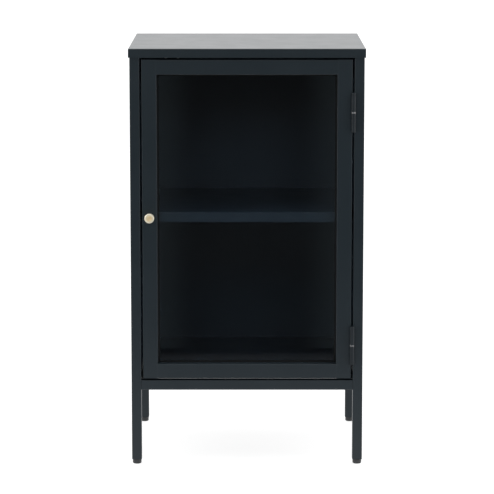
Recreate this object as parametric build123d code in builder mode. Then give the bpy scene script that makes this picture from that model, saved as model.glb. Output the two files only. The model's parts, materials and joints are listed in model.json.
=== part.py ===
from build123d import *
import os

# A free-standing steel display cabinet with one glazed door and one loose shelf.
# Millimetres. +Z is up and the door faces -Y. The origin is on the floor, in the middle
# of the whole outline, which runs from the knob's nose to the rear skirt of the cover.

os.makedirs("parts", exist_ok=True)

# ---------------------------------------------------------------- driving dimensions
width = 470              # across the outsides of the posts
depth = 400              # front face to rear face of the posts
height = 850             # floor to the top of the cover
tube = 20                # square tube of the posts and the bottom rails
tube_wall = 1.5
tube_corner = 1.6        # outside corner radius of every tube
sheet = 1.2              # folded sheet of the cover, shelf, floor and sides
bend = 1.2               # outside radius of a folded edge
gap = 4                  # around the door

cover_overhang = 2.5     # cover past the posts, on every side
cover_skirt = 18
rail_tuck = 0.8          # top rails' underside above the skirt's edge
foot_height = 9.6        # under the posts, screwed right in
post_bottom = 10
leg_clear = 155          # floor to the underside of the bottom rails

door_thick = 18
door_bar = 30            # width of the stiles and rails of the door
glass_thick = 4
glass_lap = 9            # how far the glass reaches behind the door frame
gasket_thick = 1
gasket_show = 4          # strip of gasket seen inside the frame

knob_reach = 24          # door face to the nose of the knob
knob_height = 511
shelf_top = 516
shelf_lip = 20
floor_top = 185

hinge_heights = {"upper": 722.5, "lower": 248}    # middle of each hinge
knuckle = 38             # length of one half of a barrel
barrel_radius = 4.5
barrel_clear = 0.3       # barrel in front of the door's face
washer_thick = 3
pin_radius = 2.5
running = 0.05           # radial clearance of a pin in its hole

# ---------------------------------------------------------------- worked-out places
front = -depth / 2 + (knob_reach - cover_overhang) / 2
back = front + depth
middle = (front + back) / 2
half = width / 2
opening = half - tube                    # half the width between the posts
rail_top = leg_clear + tube
cover_bottom = height - cover_skirt
cover_under = height - sheet             # underside of the cover's flat
top_rail_low = cover_bottom + rail_tuck
door_bottom = rail_top + gap
door_top = cover_bottom - gap
door_half = opening - gap
glass_half = door_half - door_bar + glass_lap
glass_low = door_bottom + door_bar - glass_lap
glass_high = door_top - door_bar + glass_lap
door_back = front + door_thick
hinge_x = opening - gap / 2
hinge_y = front - barrel_radius - barrel_clear
stile_middle = door_half - door_bar / 2


# ---------------------------------------------------------------- planes and small helpers
def facing_front(x, y, z):
    return Plane(origin=(x, y, z), x_dir=(1, 0, 0), z_dir=(0, -1, 0))


def facing_back(x, y, z):
    return Plane(origin=(x, y, z), x_dir=(-1, 0, 0), z_dir=(0, 1, 0))


def facing_side(side, x, y, z):
    return Plane(origin=(x, y, z), x_dir=(0, side, 0), z_dir=(side, 0, 0))


def facing_up(x, y, z):
    return Plane(origin=(x, y, z), x_dir=(1, 0, 0), z_dir=(0, 0, 1))


def facing_down(x, y, z):
    return Plane(origin=(x, y, z), x_dir=(1, 0, 0), z_dir=(0, 0, -1))


def write(builder, name):
    """Label one finished piece and save it under its own name."""
    builder.part.label = name
    export_step(builder.part, f"parts/{name}.step")


def tube_piece(plane, across, deep, length, wall=tube_wall, sealed=False, holes=()):
    """A rectangular tube that grows along the plane's normal.

    holes are (plane, radius) pairs: each plane lies on the outside of one wall, facing out.
    """
    cap = wall if sealed else 0
    with BuildPart() as piece:
        with BuildSketch(plane):
            RectangleRounded(across, deep, tube_corner)
        extrude(amount=length)
        with BuildSketch(plane.offset(cap)):
            Rectangle(across - 2 * wall, deep - 2 * wall)
        extrude(amount=length - 2 * cap, mode=Mode.SUBTRACT)
        for mouth, radius in holes:
            with Locations(mouth):
                Hole(radius=radius, depth=2 * wall)
    return piece


def folded_tray(plane, across, deep, flange, holes=()):
    """A sheet folded along four edges; the flanges stand along the plane's normal.

    holes are (plane, radius) pairs, as for a tube.
    """
    with BuildPart() as tray:
        with BuildSketch(plane):
            RectangleRounded(across, deep, bend)
        extrude(amount=flange)
        outer_bends = tray.faces().sort_by(Axis(plane.origin, plane.z_dir))[0].edges()
        fillet(outer_bends, bend * 0.9)
        with BuildSketch(plane.offset(sheet)):
            Rectangle(across - 2 * sheet, deep - 2 * sheet)
        extrude(amount=flange, mode=Mode.SUBTRACT)
        for mouth, radius in holes:
            with Locations(mouth):
                Hole(radius=radius, depth=2 * sheet)
    return tray


# ---------------------------------------------------------------- fasteners
screw_hole = 1.5
loose_hole = 1.6                 # where a screw passes through freely
seat_radius = 2.6                # mouth of a countersunk hole
seat_angle = 90
through = 4                      # deep enough for a hole through any one sheet
head_taper = 18                  # sides of a pan head, in degrees


def pan_screws(seats, shank=1.45, length=8, head_radius=2.9, head_height=1.3):
    """Pan-head screws; each seat is the clamped surface, facing out."""
    recess_long, recess_wide, recess_deep = 2.6, 0.7, 0.8
    with BuildPart() as screws:
        for seat in seats:
            with BuildSketch(seat):
                Circle(head_radius)
            extrude(amount=head_height, taper=head_taper)
            with BuildSketch(seat):
                Circle(shank)
            extrude(amount=-length)
        for seat in seats:
            with BuildSketch(seat.offset(head_height)):
                Rectangle(recess_long, recess_wide)
                Rectangle(recess_wide, recess_long)
            extrude(amount=-recess_deep, mode=Mode.SUBTRACT)
    return screws


def flush_screws(seats, shank=1.45, length=8, head_radius=2.5, head_depth=1.1):
    """Countersunk screws; each seat is the outer surface that the head is flush with."""
    recess_long, recess_wide, recess_deep = 2.4, 0.6, 0.6
    with BuildPart() as screws:
        for seat in seats:
            with BuildSketch(seat):
                Circle(head_radius)
            with BuildSketch(seat.offset(-head_depth)):
                Circle(shank)
            loft()
            with BuildSketch(seat.offset(-head_depth)):
                Circle(shank)
            extrude(amount=-length)
        for seat in seats:
            with BuildSketch(seat):
                Rectangle(recess_long, recess_wide)
                Rectangle(recess_wide, recess_long)
            extrude(amount=-recess_deep, mode=Mode.SUBTRACT)
    return screws


# ---------------------------------------------------------------- hinges: screw seats
hinge_leaf = 1.5                 # thickness of a leaf
leaf_deep = 15                   # how far a leaf reaches back past the front face
leaf_screw_pitch = 20
leaf_screw_in = 9                # the screws' line behind the front face
leaf_screw_y = front + leaf_screw_in
door_knuckle_low = {n: z + washer_thick / 2 for n, z in hinge_heights.items()}
post_knuckle_low = {n: z - washer_thick / 2 - knuckle for n, z in hinge_heights.items()}


def leaf_screw_heights(low):
    centre = low + knuckle / 2
    return [centre - leaf_screw_pitch / 2, centre + leaf_screw_pitch / 2]


door_leaf_seats = [
    facing_side(1, door_half + hinge_leaf, leaf_screw_y, z)
    for low in door_knuckle_low.values()
    for z in leaf_screw_heights(low)
]
post_leaf_seats = [
    facing_side(-1, opening - hinge_leaf, leaf_screw_y, z)
    for low in post_knuckle_low.values()
    for z in leaf_screw_heights(low)
]

# ---------------------------------------------------------------- back panel and cover: screw seats
back_sheet = 1
back_panel_inset = 6             # from the outsides of the posts
back_panel_lap = 15              # over the rear bottom rail
back_panel_half = half - back_panel_inset
back_panel_low = rail_top - back_panel_lap
back_screw_heights = [230, 495, 760]
back_screw_x = half - tube / 2
back_rail_screw_x = 110
back_seats = [
    facing_back(side * back_screw_x, back + back_sheet, z)
    for side in (-1, 1)
    for z in back_screw_heights
]
back_seats += [
    facing_back(side * back_rail_screw_x, back + back_sheet, leg_clear + tube / 2)
    for side in (-1, 1)
]
cover_screw_x = 150
cover_screw_z = (top_rail_low + cover_under) / 2
cover_seats = [
    facing_back(side * cover_screw_x, back + cover_overhang, cover_screw_z)
    for side in (-1, 1)
]


def on_back_face(seats):
    """The same places as the seats, on the rear face of the frame."""
    return [facing_back(s.origin.X, back, s.origin.Z) for s in seats]


# ---------------------------------------------------------------- four posts
post_length = cover_under - post_bottom
post_x = half - tube / 2

for name, side, y in [
    ("front_left_post", -1, front + tube / 2),
    ("front_right_post", 1, front + tube / 2),
    ("rear_left_post", -1, back - tube / 2),
    ("rear_right_post", 1, back - tube / 2),
]:
    holes = []
    if name == "front_right_post":
        holes = [(facing_side(-1, opening, leaf_screw_y, s.origin.Z), screw_hole)
                 for s in post_leaf_seats]
    if name.startswith("rear"):
        holes = [(p, screw_hole) for p in on_back_face(back_seats)
                 if abs(p.origin.X - side * back_screw_x) < 1]
    post = tube_piece(facing_up(side * post_x, y, post_bottom), tube, tube, post_length,
                      holes=holes)
    write(post, name)

# ---------------------------------------------------------------- bottom rails
rail_middle = leg_clear + tube / 2
rear_rail_holes = [(p, screw_hole) for p in on_back_face(back_seats)
                   if abs(p.origin.Z - rail_middle) < 1]

front_bottom_rail = tube_piece(
    facing_side(1, -opening, front + tube / 2, rail_middle), tube, tube, 2 * opening)
write(front_bottom_rail, "front_bottom_rail")

rear_bottom_rail = tube_piece(
    facing_side(1, -opening, back - tube / 2, rail_middle), tube, tube, 2 * opening,
    holes=rear_rail_holes)
write(rear_bottom_rail, "rear_bottom_rail")

for name, side in [("left_bottom_rail", -1), ("right_bottom_rail", 1)]:
    rail = tube_piece(facing_back(side * post_x, front + tube, rail_middle),
                      tube, tube, depth - 2 * tube)
    write(rail, name)

# ---------------------------------------------------------------- top rails, hidden in the cover
top_rail_tall = cover_under - top_rail_low
top_rail_middle = (cover_under + top_rail_low) / 2
catch_x = -150
catch_screw_pitch = 24
catch_screw_in = 12
catch_screw_y = front + catch_screw_in
catch_rail_seats = [
    facing_down(catch_x + side * catch_screw_pitch / 2, catch_screw_y, top_rail_low)
    for side in (-1, 1)
]

front_top_rail = tube_piece(
    facing_side(1, -opening, front + tube / 2, top_rail_middle), tube, top_rail_tall,
    2 * opening, holes=[(seat, screw_hole) for seat in catch_rail_seats])
write(front_top_rail, "front_top_rail")

rear_top_rail = tube_piece(
    facing_side(1, -opening, back - tube / 2, top_rail_middle), tube, top_rail_tall,
    2 * opening, holes=[(p, screw_hole) for p in on_back_face(cover_seats)])
write(rear_top_rail, "rear_top_rail")

for name, side in [("left_top_rail", -1), ("right_top_rail", 1)]:
    rail = tube_piece(facing_back(side * post_x, front + tube, top_rail_middle),
                      tube, top_rail_tall, depth - 2 * tube)
    write(rail, name)

# ---------------------------------------------------------------- cover
cover_bend = 1.8
cover_screw_seat = 2.9           # mouth of the cover's countersunk holes
with BuildPart() as top_cover:
    with BuildSketch(facing_up(0, middle, cover_bottom)):
        Rectangle(width + 2 * cover_overhang, depth + 2 * cover_overhang)
    extrude(amount=cover_skirt)
    fillet(top_cover.edges().filter_by(Axis.Z), cover_bend)
    fillet(top_cover.faces().sort_by(Axis.Z)[-1].edges(), cover_bend)
    with BuildSketch(facing_up(0, middle, cover_bottom)):
        Rectangle(width + 2 * (cover_overhang - sheet), depth + 2 * (cover_overhang - sheet))
    extrude(amount=cover_skirt - sheet, mode=Mode.SUBTRACT)
    with Locations(*cover_seats):
        CounterSinkHole(radius=screw_hole, counter_sink_radius=cover_screw_seat, depth=through,
                        counter_sink_angle=seat_angle)
write(top_cover, "top_cover")

cover_screws = flush_screws(cover_seats, length=10, head_radius=2.8)
write(cover_screws, "cover_screws")

stiffener_wide = 46
stiffener_tall = 12
stiffener_clear = 1              # at each end
cover_stiffener = folded_tray(
    facing_down(0, middle, cover_under), 2 * (opening - stiffener_clear), stiffener_wide,
    stiffener_tall)
write(cover_stiffener, "cover_stiffener")

# ---------------------------------------------------------------- back panel
back_panel_high = cover_under - 2
back_panel_corner = 2
cover_screw_pass = 1.9           # holes that the cover's screws pass through
with BuildPart() as back_panel:
    with BuildSketch(facing_back(0, back, (back_panel_low + back_panel_high) / 2)):
        RectangleRounded(2 * back_panel_half, back_panel_high - back_panel_low,
                         back_panel_corner)
    extrude(amount=back_sheet)
    with Locations(*back_seats):
        Hole(radius=loose_hole, depth=2 * back_sheet)
    with Locations(*[facing_back(s.origin.X, back + back_sheet, s.origin.Z) for s in cover_seats]):
        Hole(radius=cover_screw_pass, depth=2 * back_sheet)
write(back_panel, "back_panel")

back_panel_screws = pan_screws(back_seats)
write(back_panel_screws, "back_panel_screws")

# ---------------------------------------------------------------- side panels
panel_step = 2.8                 # each side panel's inside face behind the posts' inner faces
panel_inner = opening + panel_step
panel_flange = 14
panel_length = depth - 2 * tube
panel_tall = top_rail_low - rail_top
pin_hole = 2.5
shelf_pin_y = (front + 80, back - 60)
shelf_pin_radius = 3
shelf_bottom = shelf_top - shelf_lip
shelf_clear = 0.3                # between the pins and the shelf's lips
shelf_pin_z = shelf_bottom - shelf_clear - shelf_pin_radius

for name, side in [("left_side_panel", -1), ("right_side_panel", 1)]:
    pin_holes = [(facing_side(-side, side * panel_inner, y, shelf_pin_z), pin_hole)
                 for y in shelf_pin_y]
    panel = folded_tray(
        facing_side(side, side * panel_inner, middle, (rail_top + top_rail_low) / 2),
        panel_length, panel_tall, panel_flange, holes=pin_holes)
    write(panel, name)

pin_nose = 8                     # from the side panel into the cabinet
pin_tail = 6                     # from the side panel outwards
with BuildPart() as shelf_pins:
    for side in (-1, 1):
        for y in shelf_pin_y:
            with BuildSketch(facing_side(-side, side * panel_inner, y, shelf_pin_z)):
                Circle(shelf_pin_radius)
            extrude(amount=pin_nose)
            with BuildSketch(facing_side(side, side * panel_inner, y, shelf_pin_z)):
                Circle(pin_hole - running)
            extrude(amount=pin_tail)
    nose_edges = shelf_pins.edges().filter_by(GeomType.CIRCLE).filter_by(
        lambda e: abs(abs(e.center().X) - (panel_inner - pin_nose)) < 0.1)
    fillet(nose_edges, 1)
write(shelf_pins, "shelf_pins")

# ---------------------------------------------------------------- floor of the cabinet
floor_clear = 0.4                # to the posts and to the back panel
floor_half = opening - floor_clear
floor_front = door_back + 1
floor_back = back - floor_clear
floor_panel = folded_tray(
    facing_down(0, (floor_front + floor_back) / 2, floor_top),
    2 * floor_half, floor_back - floor_front, floor_top - rail_top)
write(floor_panel, "floor_panel")

# ---------------------------------------------------------------- loose shelf
shelf_front = front + 34
shelf_back = back - 5
shelf_half = opening - 0.8
shelf = folded_tray(
    facing_down(0, (shelf_front + shelf_back) / 2, shelf_top),
    2 * shelf_half, shelf_back - shelf_front, shelf_lip)
write(shelf, "shelf")

# ---------------------------------------------------------------- levelling feet and their plugs
foot_radius = 9
foot_sole_round = 2.4
foot_top_round = 0.6
stud_radius = 4
stud_tip = 0.8
plug_tall = 18
stud_low = 2
stud_high = 30
foot_places = {
    "front_left": (-post_x, front + tube / 2),
    "front_right": (post_x, front + tube / 2),
    "rear_left": (-post_x, back - tube / 2),
    "rear_right": (post_x, back - tube / 2),
}

with BuildPart() as post_plugs:
    for x, y in foot_places.values():
        with BuildSketch(facing_up(x, y, post_bottom)):
            Rectangle(tube - 2 * tube_wall, tube - 2 * tube_wall)
            Circle(stud_radius + running, mode=Mode.SUBTRACT)
        extrude(amount=plug_tall)
write(post_plugs, "post_plugs")

for name, (x, y) in foot_places.items():
    with BuildPart() as foot:
        with BuildSketch(facing_up(x, y, 0)):
            Circle(foot_radius)
        extrude(amount=foot_height)
        fillet(foot.edges().sort_by(Axis.Z)[0], foot_sole_round)
        fillet(foot.edges().sort_by(Axis.Z)[-1], foot_top_round)
        with BuildSketch(facing_up(x, y, stud_low)):
            Circle(stud_radius + running)
        extrude(amount=foot_height, mode=Mode.SUBTRACT)
    write(foot, f"{name}_foot")

    with BuildPart() as stud:
        with BuildSketch(facing_up(x, y, stud_low)):
            Circle(stud_radius)
        extrude(amount=stud_high - stud_low)
        chamfer(stud.edges().sort_by(Axis.Z)[-1], stud_tip)
    write(stud, f"{name}_foot_stud")

# ---------------------------------------------------------------- door frame
strike_half = 15
strike_tall = 14
strike_raise = 4                 # strike plate above the top rail's middle
strike_z = door_top - door_bar / 2 + strike_raise
strike_pitch = 20
clip_heights = [255, 419, 588, 752]
clip_reach = 14                  # from the glass edge onto the bar
clip_screw = 8                   # from the glass edge to the clip's screw
knob_hole = 2.2

side_clips = [(side * glass_half, z, side) for side in (-1, 1) for z in clip_heights]
end_clips = [(0, glass_low, -1), (0, glass_high, 1)]


def clip_screw_places(bar):
    """Screw points of the glass clips on one bar of the door, as (x, z)."""
    if bar == "left":
        return [(x - clip_screw, z) for x, z, side in side_clips if side < 0]
    if bar == "right":
        return [(x + clip_screw, z) for x, z, side in side_clips if side > 0]
    if bar == "bottom":
        return [(0, glass_low - clip_screw)]
    return [(0, glass_high + clip_screw)]


def rear_holes(bar):
    return [(facing_back(x, door_back, z), screw_hole) for x, z in clip_screw_places(bar)]


strike_seats = [
    facing_back(catch_x + side * strike_pitch / 2, door_back + sheet, strike_z)
    for side in (-1, 1)
]
strike_holes = [(facing_back(s.origin.X, door_back, s.origin.Z), screw_hole)
                for s in strike_seats]
knob_holes = [
    (facing_front(-stile_middle, front, knob_height), knob_hole),
    (facing_back(-stile_middle, door_back, knob_height), knob_hole),
]
edge_holes = [(facing_side(1, door_half, leaf_screw_y, s.origin.Z), screw_hole)
              for s in door_leaf_seats]
bar_middle = front + door_thick / 2
door_tall = door_top - door_bottom
bar_length = 2 * (door_half - door_bar)

door_left_stile = tube_piece(
    facing_up(-stile_middle, bar_middle, door_bottom), door_bar, door_thick, door_tall,
    wall=sheet, sealed=True, holes=rear_holes("left") + knob_holes)
write(door_left_stile, "door_left_stile")

door_right_stile = tube_piece(
    facing_up(stile_middle, bar_middle, door_bottom), door_bar, door_thick, door_tall,
    wall=sheet, sealed=True, holes=rear_holes("right") + edge_holes)
write(door_right_stile, "door_right_stile")

door_top_rail = tube_piece(
    facing_side(1, -bar_length / 2, bar_middle, door_top - door_bar / 2),
    door_thick, door_bar, bar_length, wall=sheet, holes=rear_holes("top") + strike_holes)
write(door_top_rail, "door_top_rail")

door_bottom_rail = tube_piece(
    facing_side(1, -bar_length / 2, bar_middle, door_bottom + door_bar / 2),
    door_thick, door_bar, bar_length, wall=sheet, holes=rear_holes("bottom"))
write(door_bottom_rail, "door_bottom_rail")

# ---------------------------------------------------------------- glazing
glass_middle = (glass_low + glass_high) / 2
glass_tall = glass_high - glass_low
glass_front = door_back + gasket_thick
glass_corner = 2
glass_grind = 0.4
sight_corner = 1.5
sight_across = 2 * (glass_half - glass_lap - gasket_show)
sight_tall = glass_tall - 2 * (glass_lap + gasket_show)

with BuildPart() as door_glass:
    with BuildSketch(facing_back(0, glass_front, glass_middle)):
        RectangleRounded(2 * glass_half, glass_tall, glass_corner)
    extrude(amount=glass_thick)
    ground_edges = (door_glass.faces().sort_by(Axis.Y)[0].edges()
                    + door_glass.faces().sort_by(Axis.Y)[-1].edges())
    chamfer(ground_edges, glass_grind)
write(door_glass, "door_glass")

with BuildPart() as glass_gasket:
    with BuildSketch(facing_back(0, door_back, glass_middle)):
        RectangleRounded(2 * glass_half, glass_tall, glass_corner)
        RectangleRounded(sight_across, sight_tall, sight_corner, mode=Mode.SUBTRACT)
    extrude(amount=gasket_thick)
write(glass_gasket, "glass_gasket")

clip_wide = 14
clip_lap = 5                     # tongue over the glass
clip_clear = 0.8                 # riser off the glass edge
clip_step = gasket_thick + glass_thick

# section of a Z-shaped clip: x runs from the glass edge onto the bar, y off the bar
clip_section = [
    (clip_reach, 0),
    (clip_clear, 0),
    (clip_clear, clip_step),
    (-clip_lap, clip_step),
    (-clip_lap, clip_step + sheet),
    (clip_clear + sheet, clip_step + sheet),
    (clip_clear + sheet, sheet),
    (clip_reach, sheet),
]
clip_planes = [Plane(origin=(x, door_back, z), x_dir=(side, 0, 0), z_dir=(0, 0, side))
               for x, z, side in side_clips]
clip_planes += [Plane(origin=(x, door_back, z), x_dir=(0, 0, side), z_dir=(-side, 0, 0))
                for x, z, side in end_clips]

with BuildPart() as glass_clips:
    for clip_plane in clip_planes:
        with BuildSketch(clip_plane):
            with BuildLine():
                Polyline(*clip_section, close=True)
            make_face()
        extrude(amount=clip_wide / 2, both=True)
    for bar in ("left", "right", "bottom", "top"):
        with Locations(*[facing_back(x, door_back + sheet, z)
                         for x, z in clip_screw_places(bar)]):
            Hole(radius=loose_hole, depth=2 * sheet)
write(glass_clips, "glass_clips")

glass_clip_screws = pan_screws(
    [facing_back(x, door_back + sheet, z)
     for bar in ("left", "right", "bottom", "top")
     for x, z in clip_screw_places(bar)], length=7)
write(glass_clip_screws, "glass_clip_screws")

# ---------------------------------------------------------------- knob
knob_radius = 9.6
knob_neck = 4.8
knob_base_radius = 7
knob_base_thick = 1.6
knob_base_round = 0.6
knob_thread = 2.1
thread_deep = 11
thread_spare = 2                 # thread left beyond the screw's tip
head_thick = 9
head_rim = 2.2                   # roundness of the head's front edge
head_shoulder = 1.8              # roundness behind the head
neck_round = 2                   # where the neck spreads onto the base
dish_radius = 5.8
dish_depth = 1

with BuildPart() as knob_base:
    with BuildSketch(facing_front(-stile_middle, front, knob_height)):
        Circle(knob_base_radius)
        Circle(knob_hole, mode=Mode.SUBTRACT)
    extrude(amount=knob_base_thick)
    fillet(knob_base.faces().sort_by(Axis.Y)[0].outer_wire().edges(), knob_base_round)
write(knob_base, "knob_base")

knob_seat = facing_front(-stile_middle, front - knob_base_thick, knob_height)
head_low = knob_reach - knob_base_thick - head_thick
knob_nose = knob_reach - knob_base_thick
dish_ball = (dish_radius ** 2 + dish_depth ** 2) / (2 * dish_depth)
with BuildPart() as knob:
    with BuildSketch(knob_seat):
        Circle(knob_neck)
    extrude(amount=head_low)
    with BuildSketch(knob_seat.offset(head_low)):
        Circle(knob_radius)
    extrude(amount=head_thick)
    head_edges = knob.edges().filter_by(GeomType.CIRCLE).filter_by(
        lambda e: abs(e.radius - knob_radius) < 0.01).sort_by(Axis.Y)
    fillet(head_edges[0], head_rim)
    fillet(head_edges[-1], head_shoulder)
    neck_root = knob.edges().filter_by(GeomType.CIRCLE).filter_by(
        lambda e: abs(e.radius - knob_neck) < 0.01).sort_by(Axis.Y)[0]
    fillet(neck_root, neck_round)
    with Locations(knob_seat.offset(knob_nose + dish_ball - dish_depth)):
        Sphere(dish_ball, mode=Mode.SUBTRACT)
    with Locations(facing_back(-stile_middle, front - knob_base_thick, knob_height)):
        Hole(radius=knob_thread, depth=thread_deep)
write(knob, "knob")

knob_screw = pan_screws(
    [facing_back(-stile_middle, door_back, knob_height)],
    shank=2, length=door_thick + knob_base_thick + thread_deep - thread_spare, head_radius=4,
    head_height=2.2)
write(knob_screw, "knob_screw")

# ---------------------------------------------------------------- magnetic catch
catch_half = 18
bracket_front = front + 5
bracket_back = front + 38
bracket_thick = 1.5
bracket_low = door_top - 22
pole_clear = 0.2                 # left between the poles and the strike plate
pole_proud = 0.8                 # poles in front of the housing
pole_face = door_back + sheet + pole_clear
housing_front = pole_face + pole_proud
housing_back = bracket_back - bracket_thick
housing_low = strike_z - 8
housing_tall = 16
magnet_across = 22
magnet_tall = 6
pole_thick = 1.2
pocket_deep = 8
magnet_sunk = 0.5
housing_seats = [
    facing_back(catch_x + side * catch_screw_pitch / 2, bracket_back, strike_z)
    for side in (-1, 1)
]

with BuildPart() as catch_bracket:
    with BuildSketch(Plane(origin=(catch_x - catch_half, 0, 0), x_dir=(0, 1, 0),
                           z_dir=(1, 0, 0))):
        with BuildLine():
            Polyline(
                (bracket_front, top_rail_low),
                (bracket_back, top_rail_low),
                (bracket_back, bracket_low),
                (bracket_back - bracket_thick, bracket_low),
                (bracket_back - bracket_thick, top_rail_low - bracket_thick),
                (bracket_front, top_rail_low - bracket_thick),
                close=True,
            )
        make_face()
    extrude(amount=2 * catch_half)
    with Locations(*[seat.offset(bracket_thick) for seat in catch_rail_seats]):
        Hole(radius=loose_hole, depth=2 * bracket_thick)
    with Locations(*housing_seats):
        Hole(radius=loose_hole, depth=2 * bracket_thick)
write(catch_bracket, "catch_bracket")

with BuildPart() as catch_housing:
    with BuildSketch(facing_back(catch_x, housing_front, strike_z)):
        RectangleRounded(2 * catch_half - 2, housing_tall, 1.5)
    extrude(amount=housing_back - housing_front)
    with BuildSketch(facing_back(catch_x, housing_front, strike_z)):
        Rectangle(magnet_across, magnet_tall + 2 * pole_thick)
    extrude(amount=pocket_deep, mode=Mode.SUBTRACT)
    with Locations(*[facing_back(s.origin.X, housing_back, s.origin.Z) for s in housing_seats]):
        Hole(radius=screw_hole, depth=5)
write(catch_housing, "catch_housing")

with BuildPart() as catch_magnet:
    with BuildSketch(facing_back(catch_x, housing_front + magnet_sunk, strike_z)):
        Rectangle(magnet_across - 2, magnet_tall)
    extrude(amount=pocket_deep - magnet_sunk)
write(catch_magnet, "catch_magnet")

with BuildPart() as catch_pole_plates:
    for side in (-1, 1):
        pole_z = strike_z + side * (magnet_tall + pole_thick) / 2
        with BuildSketch(facing_back(catch_x, pole_face, pole_z)):
            Rectangle(magnet_across - 1, pole_thick)
        extrude(amount=housing_front + pocket_deep - pole_face)
write(catch_pole_plates, "catch_pole_plates")

catch_screws = pan_screws(
    [seat.offset(bracket_thick) for seat in catch_rail_seats] + housing_seats,
    length=5, head_height=1.2)
write(catch_screws, "catch_screws")

with BuildPart() as strike_plate:
    with BuildSketch(facing_back(catch_x, door_back, strike_z)):
        RectangleRounded(2 * strike_half, strike_tall, 2)
    extrude(amount=sheet)
    with Locations(*strike_seats):
        CounterSinkHole(radius=screw_hole, counter_sink_radius=seat_radius, depth=through,
                        counter_sink_angle=seat_angle)
write(strike_plate, "strike_plate")

strike_screws = flush_screws(strike_seats, length=5)
write(strike_screws, "strike_screws")

# ---------------------------------------------------------------- hinges
pin_cap = 4                      # closed end of the door's half above the pin
pin_spare = 2                    # left above the pin's tip
pin_tip = 0.6
washer_clear = 0.1               # under the door's half and round the washer's rim
pin_into_door = knuckle - pin_cap - pin_spare


def hinge_half(low, side, bore, bore_low, bore_length, seats):
    """Barrel and leaf in one. side is -1 for the door's half and +1 for the post's."""
    leaf_middle = hinge_x + side * (gap / 2 - hinge_leaf / 2)
    leaf_length = front + leaf_deep - hinge_y
    with BuildPart() as half_hinge:
        with BuildSketch(facing_up(hinge_x, hinge_y, low)):
            Circle(barrel_radius)
        extrude(amount=knuckle)
        with BuildSketch(facing_up(leaf_middle, hinge_y + leaf_length / 2, low)):
            Rectangle(hinge_leaf, leaf_length)
        extrude(amount=knuckle)
        with BuildSketch(facing_up(hinge_x, hinge_y, bore_low)):
            Circle(bore)
        extrude(amount=bore_length, mode=Mode.SUBTRACT)
        with Locations(*seats):
            CounterSinkHole(radius=screw_hole, counter_sink_radius=seat_radius, depth=through,
                            counter_sink_angle=seat_angle)
    return half_hinge


for name in hinge_heights:
    door_low = door_knuckle_low[name]
    door_seats = [s for s in door_leaf_seats if door_low < s.origin.Z < door_low + knuckle]
    door_half_hinge = hinge_half(door_low, -1, pin_radius + running, door_low,
                                 knuckle - pin_cap, door_seats)
    write(door_half_hinge, f"{name}_hinge_door_half")

    post_low = post_knuckle_low[name]
    post_seats = [s for s in post_leaf_seats if post_low < s.origin.Z < post_low + knuckle]
    post_half_hinge = hinge_half(post_low, 1, pin_radius, post_low, knuckle, post_seats)
    write(post_half_hinge, f"{name}_hinge_post_half")

    with BuildPart() as hinge_pin:
        with BuildSketch(facing_up(hinge_x, hinge_y, post_low)):
            Circle(pin_radius)
        extrude(amount=knuckle + washer_thick + pin_into_door)
        chamfer(hinge_pin.edges().sort_by(Axis.Z)[-1], pin_tip)
    write(hinge_pin, f"{name}_hinge_pin")

with BuildPart() as hinge_washers:
    for low in post_knuckle_low.values():
        with BuildSketch(facing_up(hinge_x, hinge_y, low + knuckle)):
            Circle(barrel_radius - washer_clear)
            Circle(pin_radius + running, mode=Mode.SUBTRACT)
        extrude(amount=washer_thick - washer_clear)
write(hinge_washers, "hinge_washers")

hinge_door_screws = flush_screws(door_leaf_seats, length=6)
write(hinge_door_screws, "hinge_door_screws")

hinge_post_screws = flush_screws(post_leaf_seats, length=6)
write(hinge_post_screws, "hinge_post_screws")
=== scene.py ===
import json
import math

import bmesh
import bpy
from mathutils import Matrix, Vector


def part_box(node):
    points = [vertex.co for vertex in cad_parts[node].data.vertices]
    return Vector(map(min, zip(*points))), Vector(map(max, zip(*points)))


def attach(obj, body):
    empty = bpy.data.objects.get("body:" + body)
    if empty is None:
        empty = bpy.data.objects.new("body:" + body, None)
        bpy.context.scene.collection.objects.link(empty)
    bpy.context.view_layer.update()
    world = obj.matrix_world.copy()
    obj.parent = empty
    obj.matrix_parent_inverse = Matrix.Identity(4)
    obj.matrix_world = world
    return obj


# A black powder-coated steel display cabinet with one glazed door and one loose shelf.
# Metres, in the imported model's frame: +Z up, the door faces -Y, the floor is z = 0.

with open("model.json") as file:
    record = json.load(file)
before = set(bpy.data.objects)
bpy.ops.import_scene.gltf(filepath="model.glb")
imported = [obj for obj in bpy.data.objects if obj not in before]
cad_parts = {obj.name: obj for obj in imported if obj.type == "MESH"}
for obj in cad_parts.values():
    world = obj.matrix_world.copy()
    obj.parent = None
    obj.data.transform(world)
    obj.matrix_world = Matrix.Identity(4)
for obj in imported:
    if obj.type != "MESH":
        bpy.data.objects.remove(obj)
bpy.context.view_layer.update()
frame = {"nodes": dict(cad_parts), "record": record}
nodes = frame["nodes"]

MM = 0.001
HALF_TURN = math.pi


# ================================================================ places taken from the frame
def centre(node):
    low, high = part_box(node)
    return (low + high) / 2


front_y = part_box("front_left_post")[0].y   # front plane of the posts and the door


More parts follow.
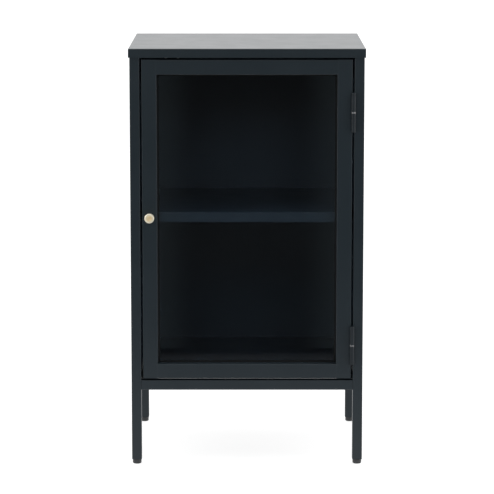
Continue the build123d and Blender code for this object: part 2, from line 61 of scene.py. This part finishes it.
# ================================================================ node materials
class Recipe:
    """One procedural material: a Principled shader and short calls for the nodes that feed it."""

    def __init__(self, name, **constants):
        self.material = bpy.data.materials.new(name)
        self.material.use_nodes = True
        self.tree = self.material.node_tree
        self.shader = self.tree.nodes["Principled BSDF"]
        for socket, value in constants.items():
            self.shader.inputs[socket.replace("_", " ")].default_value = value
        self.place = self.add("ShaderNodeTexCoord").outputs["Object"]

    def add(self, kind, **settings):
        node = self.tree.nodes.new(kind)
        for key, value in settings.items():
            setattr(node, key, value)
        return node

    def join(self, source, target):
        self.tree.links.new(source, target)

    def noise(self, per_metre, detail=2.0, roughness=0.5, stretch=(1, 1, 1)):
        """Noise whose features are about 1 / per_metre metres across."""
        mapping = self.add("ShaderNodeMapping")
        mapping.inputs["Scale"].default_value = stretch
        self.join(self.place, mapping.inputs["Vector"])
        noise = self.add("ShaderNodeTexNoise")
        noise.inputs["Scale"].default_value = per_metre
        noise.inputs["Detail"].default_value = detail
        noise.inputs["Roughness"].default_value = roughness
        self.join(mapping.outputs["Vector"], noise.inputs["Vector"])
        return noise.outputs["Fac"]

    def spread(self, value, low, high, to_low=0.0, to_high=1.0):
        """Maps low..high onto to_low..to_high, held at both ends."""
        node = self.add("ShaderNodeMapRange")
        node.clamp = True
        for socket, number in (("From Min", low), ("From Max", high),
                               ("To Min", to_low), ("To Max", to_high)):
            node.inputs[socket].default_value = number
        self.join(value, node.inputs["Value"])
        return node.outputs["Result"]

    def maths(self, operation, first, second):
        node = self.add("ShaderNodeMath", operation=operation)
        for socket, value in zip(node.inputs, (first, second)):
            if isinstance(value, (int, float)):
                socket.default_value = value
            else:
                self.join(value, socket)
        return node.outputs["Value"]

    def mix(self, share, first, second):
        """A colour between two; each is an (r, g, b) or a colour socket."""
        node = self.add("ShaderNodeMix", data_type="RGBA")
        share_in, first_in, second_in = node.inputs[0], node.inputs[6], node.inputs[7]
        self.join(share, share_in)
        for socket, colour in ((first_in, first), (second_in, second)):
            if isinstance(colour, tuple):
                socket.default_value = (*colour, 1)
            else:
                self.join(colour, socket)
        return node.outputs[2]

    def edges(self, radius):
        """1 on sharp edges and 0 on flats, from how far rounding would turn the normal."""
        low, high = 0.02, 0.25
        rounded = self.add("ShaderNodeBevel", samples=4)
        rounded.inputs["Radius"].default_value = radius
        surface = self.add("ShaderNodeNewGeometry")
        dot = self.add("ShaderNodeVectorMath", operation="DOT_PRODUCT")
        self.join(rounded.outputs["Normal"], dot.inputs[0])
        self.join(surface.outputs["Normal"], dot.inputs[1])
        turned = self.maths("SUBTRACT", 1.0, dot.outputs["Value"])
        return self.spread(turned, low, high)

    def wear_and_edge_highlight(self, radius, share, colour, worn_and_highlit):
        """The colour with its edges lightened towards a second one: rubbed wear, and a painted
        highlight along the edges.
        """
        return self.mix(self.maths("MULTIPLY", self.edges(radius), share), colour, worn_and_highlit)

    def bump(self, *layers):
        """Stacks bump layers, each (height socket, distance in metres, strength)."""
        normal = None
        for height, distance, strength in layers:
            node = self.add("ShaderNodeBump")
            node.inputs["Distance"].default_value = distance
            node.inputs["Strength"].default_value = strength
            self.join(height, node.inputs["Height"])
            if normal is not None:
                self.join(normal, node.inputs["Normal"])
            normal = node.outputs["Normal"]
        self.join(normal, self.shader.inputs["Normal"])

    def colour(self, socket):
        self.join(socket, self.shader.inputs["Base Color"])

    def roughness(self, socket):
        self.join(socket, self.shader.inputs["Roughness"])


def powder_coat():
    """Fine matt powder coat, black with a blue cast: orange peel, specks, and lighter edges that are
    partly rubbed wear and partly a painted highlight.
    """
    recipe = Recipe("powder_coat_black", IOR=1.42)
    cloud = recipe.noise(7, detail=3)
    peel = recipe.noise(650, detail=2)
    grit = recipe.noise(2600, detail=1)
    dark, light = (0.0070, 0.0130, 0.0178), (0.0088, 0.0153, 0.0205)
    # The edge colour here is partly rubbed wear and partly a painted highlight on the rounded edges.
    speck, worn_and_highlit = (0.030, 0.040, 0.047), (0.050, 0.062, 0.070)
    base = recipe.mix(recipe.spread(cloud, 0.35, 0.65), dark, light)
    speckled = recipe.mix(recipe.spread(grit, 0.60, 0.74, 0, 0.5), base, speck)
    recipe.colour(recipe.wear_and_edge_highlight(0.9 * MM, 0.14, speckled, worn_and_highlit))
    patchy = recipe.spread(recipe.noise(24, detail=3), 0.3, 0.7, 0.40, 0.43)
    recipe.roughness(recipe.maths("ADD", patchy, recipe.spread(grit, 0.3, 0.7, -0.02, 0.02)))
    recipe.bump((peel, 0.05 * MM, 0.45), (grit, 0.02 * MM, 0.35))
    return recipe.material


def satin_black():
    """Smoother black on the hinges, clips and bracket, a little worn on the edges."""
    recipe = Recipe("satin_black", IOR=1.38)
    cloud = recipe.noise(40, detail=3)
    dark, light, worn_and_highlit = (0.0045, 0.0085, 0.0120), (0.0060, 0.0105, 0.0145), (0.022, 0.028, 0.034)
    base = recipe.mix(recipe.spread(cloud, 0.35, 0.65), dark, light)
    recipe.colour(recipe.wear_and_edge_highlight(0.5 * MM, 0.3, base, worn_and_highlit))
    recipe.roughness(recipe.spread(recipe.noise(120, detail=3), 0.3, 0.7, 0.50, 0.58))
    recipe.bump((recipe.noise(1400, detail=2), 0.02 * MM, 0.3))
    return recipe.material


def clear_glass():
    """Thin coated display glass: very little mirror, a faint blue tint, faint waviness.

    Lamps pass straight through it, so that it lights what it shuts in.
    """
    recipe = Recipe("display_glass", IOR=1.40, Roughness=0.0)
    recipe.shader.inputs["Transmission Weight"].default_value = 1.0
    smear = recipe.noise(9, detail=3, stretch=(1, 1, 0.4))
    recipe.colour(recipe.mix(recipe.spread(smear, 0.3, 0.7), (0.86, 0.92, 0.98), (0.84, 0.90, 0.96)))
    recipe.bump((recipe.noise(5, detail=1), 0.02 * MM, 0.10))
    path = recipe.add("ShaderNodeLightPath")
    through = recipe.add("ShaderNodeBsdfTransparent")
    through.inputs["Color"].default_value = (0.80, 0.89, 0.97, 1)
    either = recipe.add("ShaderNodeMixShader")
    output = recipe.tree.nodes["Material Output"]
    recipe.join(path.outputs["Is Shadow Ray"], either.inputs[0])
    recipe.join(recipe.shader.outputs["BSDF"], either.inputs[1])
    recipe.join(through.outputs["BSDF"], either.inputs[2])
    recipe.join(either.outputs["Shader"], output.inputs["Surface"])
    return recipe.material


def rubber():
    """Matt black gasket with a little dust."""
    recipe = Recipe("gasket_rubber", IOR=1.35)
    dust = recipe.noise(160, detail=5, roughness=0.65)
    clean, dusty = (0.0016, 0.0026, 0.0036), (0.0040, 0.0052, 0.0064)
    recipe.colour(recipe.mix(recipe.spread(dust, 0.5, 0.75), clean, dusty))
    recipe.roughness(recipe.spread(dust, 0.3, 0.7, 0.62, 0.80))
    recipe.bump((recipe.noise(1100, detail=3), 0.03 * MM, 0.5))
    return recipe.material


def turned_brass():
    """Pale satin brass: a golden dish, a paler rim, and turning rings round the knob's axis."""
    ring_pitch = 0.35 * MM
    dish_edge, rim_edge = 5.4 * MM, 6.4 * MM
    gold, tarnished = (0.92, 0.76, 0.50), (0.85, 0.66, 0.38)
    pale, polished = (0.90, 0.83, 0.68), (0.96, 0.90, 0.76)
    recipe = Recipe("turned_brass", Metallic=1.0)
    axis = centre("knob")
    offset = recipe.add("ShaderNodeVectorMath", operation="SUBTRACT")
    recipe.join(recipe.place, offset.inputs[0])
    offset.inputs[1].default_value = (axis.x, 0, axis.z)
    flat = recipe.add("ShaderNodeVectorMath", operation="MULTIPLY")
    recipe.join(offset.outputs["Vector"], flat.inputs[0])
    flat.inputs[1].default_value = (1, 0, 1)
    radius = recipe.add("ShaderNodeVectorMath", operation="LENGTH")
    recipe.join(flat.outputs["Vector"], radius.inputs[0])
    turns = recipe.maths("MULTIPLY", radius.outputs["Value"], 2 * HALF_TURN / ring_pitch)
    rings = recipe.maths("SINE", turns, 0)
    tarnish = recipe.noise(180, detail=4)
    face = recipe.mix(recipe.spread(tarnish, 0.35, 0.70), gold, tarnished)
    rim = recipe.spread(radius.outputs["Value"], dish_edge, rim_edge)
    rimmed = recipe.mix(recipe.maths("MULTIPLY", rim, 0.9), face, pale)
    recipe.colour(recipe.wear_and_edge_highlight(0.6 * MM, 0.5, rimmed, polished))
    recipe.roughness(recipe.spread(tarnish, 0.3, 0.7, 0.46, 0.54))
    recipe.bump((rings, 0.004 * MM, 0.35), (recipe.noise(1500, detail=2), 0.01 * MM, 0.2))
    return recipe.material


def plated_steel(name, tint, shade, rough):
    """Zinc or nickel plate: crystalline patches, fine scratches and brighter edges."""
    recipe = Recipe(name, Metallic=1.0)
    patches = recipe.noise(420, detail=3)
    scratches = recipe.noise(300, detail=2, stretch=(1, 14, 1))
    plate = recipe.mix(recipe.spread(patches, 0.35, 0.65), tint, shade)
    recipe.colour(recipe.wear_and_edge_highlight(0.3 * MM, 0.6, plate, (0.86, 0.85, 0.82)))
    recipe.roughness(recipe.spread(scratches, 0.3, 0.7, rough - 0.05, rough + 0.08))
    recipe.bump((scratches, 0.01 * MM, 0.3))
    return recipe.material


def moulded_plastic(name, light, dark):
    """Injection-moulded plastic with a spark-eroded grain."""
    recipe = Recipe(name, IOR=1.46)
    cloud = recipe.noise(90, detail=3)
    base = recipe.mix(recipe.spread(cloud, 0.35, 0.65), dark, light)
    pale = tuple(3 * c for c in light)
    recipe.colour(recipe.wear_and_edge_highlight(0.6 * MM, 0.4, base, pale))
    recipe.roughness(recipe.spread(cloud, 0.3, 0.7, 0.48, 0.60))
    recipe.bump((recipe.noise(1700, detail=3), 0.04 * MM, 0.5))
    return recipe.material


def ferrite():
    """Sintered magnet: dark grey with a fine grain."""
    recipe = Recipe("ferrite", Metallic=0.0, IOR=1.6)
    dark, light = (0.018, 0.017, 0.017), (0.035, 0.032, 0.031)
    grain = recipe.noise(900, detail=4)
    recipe.colour(recipe.mix(recipe.spread(grain, 0.35, 0.65), dark, light))
    recipe.roughness(recipe.spread(grain, 0.3, 0.7, 0.55, 0.75))
    recipe.bump((grain, 0.03 * MM, 0.5))
    return recipe.material


finishes = {
    "black_powder_coat": powder_coat(),
    "hinge_black": satin_black(),
    "glass": clear_glass(),
    "gasket_rubber": rubber(),
    "knob_brass": turned_brass(),
    "washer_steel": plated_steel("bright_washer", (0.22, 0.22, 0.22), (0.18, 0.18, 0.19), 0.46),
    "zinc_steel": plated_steel("zinc_plate", (0.60, 0.60, 0.59), (0.46, 0.47, 0.48), 0.36),
    "foot_plastic": moulded_plastic("foot_plastic", (0.030, 0.032, 0.034), (0.022, 0.024, 0.026)),
    "black_plastic": moulded_plastic("black_plastic", (0.012, 0.012, 0.013), (0.008, 0.008, 0.009)),
    "magnet": ferrite(),
}

slot_of = {part["node"]: part["material_slot"] for part in frame["record"]["subparts"]}
for name, node in nodes.items():
    node.data.materials.clear()
    node.data.materials.append(finishes[slot_of[name]])


# ================================================================ meshes made in code
def place_in_scene(name, data):
    """An object that holds the given mesh, lamp or camera data."""
    thing = bpy.data.objects.new(name, data)
    bpy.context.scene.collection.objects.link(thing)
    return thing


def finish_mesh(mesh, name):
    """Turns a bmesh into an object of the scene."""
    data = bpy.data.meshes.new(name)
    mesh.to_mesh(data)
    mesh.free()
    return place_in_scene(name, data)


# ================================================================ ground welds on the door
bar_corner = 1.6 * MM                     # outside corner radius of the door's tubes
corner_steps = 6                          # faces along the stile's round corner
end_steps = 5                             # slices along the rail's round corners
flush_share = 0.98                        # keeps the end slices from shrinking to a line


def corner_weld(name, stile, rail, face):
    """Fills the groove where a rail butts against a stile's rounded corner, ground flush.

    face is -1 for the door's front and 1 for its rear.
    """
    stile_low, stile_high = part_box(stile)
    rail_low, rail_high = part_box(rail)
    side = 1 if stile_low.x > 0 else -1
    butt = rail_high.x if side > 0 else rail_low.x
    outer = stile_low.y if face < 0 else stile_high.y

    def section(z, sunk):
        """One slice: the flush line, then back along the stile's round corner."""
        start = math.acos(1 - sunk / bar_corner)
        points = [(butt, outer - face * sunk)]
        for i in range(corner_steps + 1):
            turn = start + (HALF_TURN / 2 - start) * i / corner_steps
            x = butt + side * bar_corner * (1 - math.sin(turn))
            points.append((x, outer - face * bar_corner * (1 - math.cos(turn))))
        return [(x, y, z) for x, y in points]

    ends = []
    for i in range(end_steps + 1):
        turn = HALF_TURN / 2 * i / end_steps
        rise = bar_corner * (1 - math.cos(turn))
        sunk = bar_corner * (1 - math.sin(turn)) * flush_share
        ends.append((rise, sunk))
    slices = [(rail_low.z + rise, sunk) for rise, sunk in ends]
    slices += [(rail_high.z - rise, sunk) for rise, sunk in reversed(ends)]

    mesh = bmesh.new()
    rings = [[mesh.verts.new(p) for p in section(z, sunk)] for z, sunk in slices]
    for lower, upper in zip(rings, rings[1:]):
        for i in range(len(lower)):
            j = (i + 1) % len(lower)
            mesh.faces.new((lower[i], lower[j], upper[j], upper[i]))
    mesh.faces.new(reversed(rings[0]))
    mesh.faces.new(rings[-1])
    bmesh.ops.recalc_face_normals(mesh, faces=mesh.faces)
    weld = finish_mesh(mesh, name)
    weld.data.materials.append(finishes["black_powder_coat"])
    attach(weld, "door")


for stile in ("left", "right"):
    for rail in ("top", "bottom"):
        for face, word in ((-1, "front"), (1, "rear")):
            corner_weld(f"{rail}_{stile}_{word}_weld", f"door_{stile}_stile", f"door_{rail}_rail", face)


# ================================================================ camera
view_distance = 5.0
view_height = 1.262
view_tilt = math.radians(9.226)
sensor_width = 36
focal_length = 5.083 * sensor_width

camera_data = bpy.data.cameras.new("camera")
camera_data.sensor_width = sensor_width
camera_data.lens = focal_length
camera_data.clip_end = 200
camera = place_in_scene("camera", camera_data)
camera.location = (0, front_y - view_distance, view_height)
camera.rotation_euler = (HALF_TURN / 2 - view_tilt, 0, 0)
bpy.context.scene.camera = camera


# ================================================================ stage and light
def plane(name, corners):
    mesh = bmesh.new()
    mesh.faces.new([mesh.verts.new(c) for c in corners])
    return finish_mesh(mesh, name)


def studio_floor():
    """A white sweep that glows a little, so that the shadows on it stay faint.

    It fades out in front of the cabinet, so that the door's glass doesn't mirror it.
    """
    fade_near, fade_far, reach = front_y - 0.35, front_y - 1.10, 40
    dim, bright = (0.27, 0.27, 0.27), (0.29, 0.29, 0.29)
    floor = plane("studio_floor", [(-reach, fade_far, 0), (reach, fade_far, 0),
                                   (reach, reach, 0), (-reach, reach, 0)])
    recipe = Recipe("pale_floor", Roughness=0.9, IOR=1.2)
    tone = recipe.noise(0.8, detail=2)
    recipe.colour(recipe.mix(recipe.spread(tone, 0.3, 0.7), dim, bright))
    recipe.shader.inputs["Emission Color"].default_value = (1, 1, 1, 1)
    recipe.shader.inputs["Emission Strength"].default_value = 0.80
    split = recipe.add("ShaderNodeSeparateXYZ")
    recipe.join(recipe.place, split.inputs["Vector"])
    recipe.join(recipe.spread(split.outputs["Y"], fade_far, fade_near), recipe.shader.inputs["Alpha"])
    floor.data.materials.append(recipe.material)


def studio_sky(behind, ahead):
    """A plain white surround. What it lights sees it dimmer from the cabinet's front side."""
    world = bpy.data.worlds.new("studio")
    world.use_nodes = True
    tree = world.node_tree
    background = tree.nodes["Background"]
    background.inputs["Color"].default_value = (1, 1, 1, 1)
    place = tree.nodes.new("ShaderNodeTexCoord")
    split = tree.nodes.new("ShaderNodeSeparateXYZ")
    tree.links.new(place.outputs["Generated"], split.inputs["Vector"])
    fall = tree.nodes.new("ShaderNodeMapRange")
    fall.interpolation_type = "SMOOTHSTEP"
    for socket, number in (("From Min", -0.80), ("From Max", -0.25),
                           ("To Min", ahead), ("To Max", behind)):
        fall.inputs[socket].default_value = number
    tree.links.new(split.outputs["Y"], fall.inputs["Value"])
    path = tree.nodes.new("ShaderNodeLightPath")
    either = tree.nodes.new("ShaderNodeMix")
    either.data_type = "FLOAT"
    tree.links.new(path.outputs["Is Camera Ray"], either.inputs["Factor"])
    tree.links.new(fall.outputs["Result"], either.inputs["A"])
    either.inputs["B"].default_value = 1.0
    tree.links.new(either.outputs["Result"], background.inputs["Strength"])
    bpy.context.scene.world = world


def softbox(name, place, target, size, power):
    data = bpy.data.lights.new(name, "AREA")
    data.shape = "RECTANGLE"
    data.size, data.size_y = size
    data.energy = power
    lamp = place_in_scene(name, data)
    lamp.location = place
    lamp.rotation_euler = (Vector(target) - Vector(place)).to_track_quat("-Z", "Y").to_euler()


def side_card(name, side):
    """A dim standing card that only reflections see: it fogs the glass towards its sides."""
    inner, outer, low, high = 0.12, 0.75, 0.0, 1.1
    ahead, fade_width = front_y - 1.15, 0.12
    card = plane(name, [(inner * side, ahead, low), (outer * side, ahead, low),
                        (outer * side, ahead, high), (inner * side, ahead, high)])
    material = bpy.data.materials.new(card.name)
    material.use_nodes = True
    tree = material.node_tree
    tree.nodes.remove(tree.nodes["Principled BSDF"])
    glow = tree.nodes.new("ShaderNodeEmission")
    clear = tree.nodes.new("ShaderNodeBsdfTransparent")
    either = tree.nodes.new("ShaderNodeMixShader")
    place = tree.nodes.new("ShaderNodeTexCoord")
    split = tree.nodes.new("ShaderNodeSeparateXYZ")
    across = tree.nodes.new("ShaderNodeMath")
    across.operation = "ABSOLUTE"
    fade = tree.nodes.new("ShaderNodeMapRange")
    fade.interpolation_type = "SMOOTHSTEP"
    fade.inputs["From Min"].default_value = inner
    fade.inputs["From Max"].default_value = inner + fade_width
    glow.inputs["Color"].default_value = (0.72, 0.90, 1.0, 1)
    glow.inputs["Strength"].default_value = 0.32
    tree.links.new(place.outputs["Object"], split.inputs["Vector"])
    tree.links.new(split.outputs["X"], across.inputs[0])
    tree.links.new(across.outputs["Value"], fade.inputs["Value"])
    tree.links.new(fade.outputs["Result"], either.inputs[0])
    tree.links.new(clear.outputs["BSDF"], either.inputs[1])
    tree.links.new(glow.outputs["Emission"], either.inputs[2])
    tree.links.new(either.outputs["Shader"], tree.nodes["Material Output"].inputs["Surface"])
    card.data.materials.append(material)
    card.visible_camera = False
    card.visible_diffuse = False
    card.visible_shadow = False
    card.visible_transmission = False


studio_floor()
studio_sky(behind=1.9, ahead=0.04)
for side, word in ((-1, "left"), (1, "right")):
    softbox(word + "_key", (0.95 * side, front_y - 2.4, 1.75), (0, 0, 0.5), (0.9, 0.6), 9.0)
    softbox(word + "_strip", (2.0 * side, front_y - 1.1, 0.9), (0, front_y, 0.5), (0.45, 1.7), 3.5)
    side_card(word + "_card", side)
bpy.context.scene.view_settings.view_transform = "Standard"
